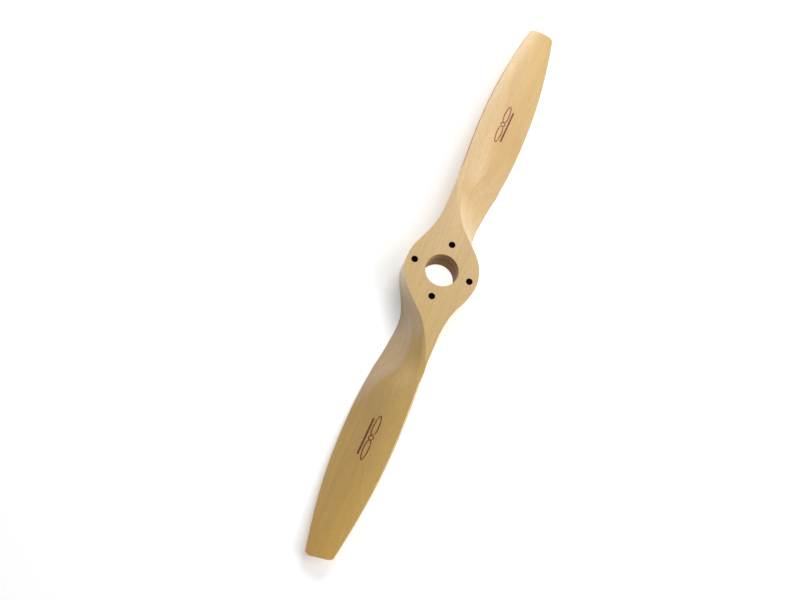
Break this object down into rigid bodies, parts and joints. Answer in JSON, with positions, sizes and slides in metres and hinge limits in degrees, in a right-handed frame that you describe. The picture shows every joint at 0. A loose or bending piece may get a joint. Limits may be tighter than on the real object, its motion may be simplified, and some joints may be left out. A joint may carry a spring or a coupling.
{
  "type": "propeller",
  "caption": "Two-blade laminated wooden propeller with twisted blades and a flat hub, bored for the shaft and drilled on a bolt circle.",
  "frame": {"origin": "where the shaft axis meets the hub's back face", "axes": "+Z along the shaft axis towards the front (nose) face; +X along one blade to its tip; +Y towards the leading edge of the +X blade"},
  "size_m": [0.6116, 0.0752, 0.0309],
  "materials": {
    "front_wood": "satin clear lacquer",
    "middle_wood": "satin clear lacquer",
    "back_wood": "satin clear lacquer",
    "glue": "cured glue film, close to the wood in colour, under satin lacquer",
    "ink": "red-brown printed ink"
  },
  "bodies": {
    "root": {"front_ply": "front_wood", "front_glue_line": "glue", "middle_ply": "middle_wood", "rear_glue_line": "glue", "back_ply": "back_wood"}
  },
  "joints": []
}
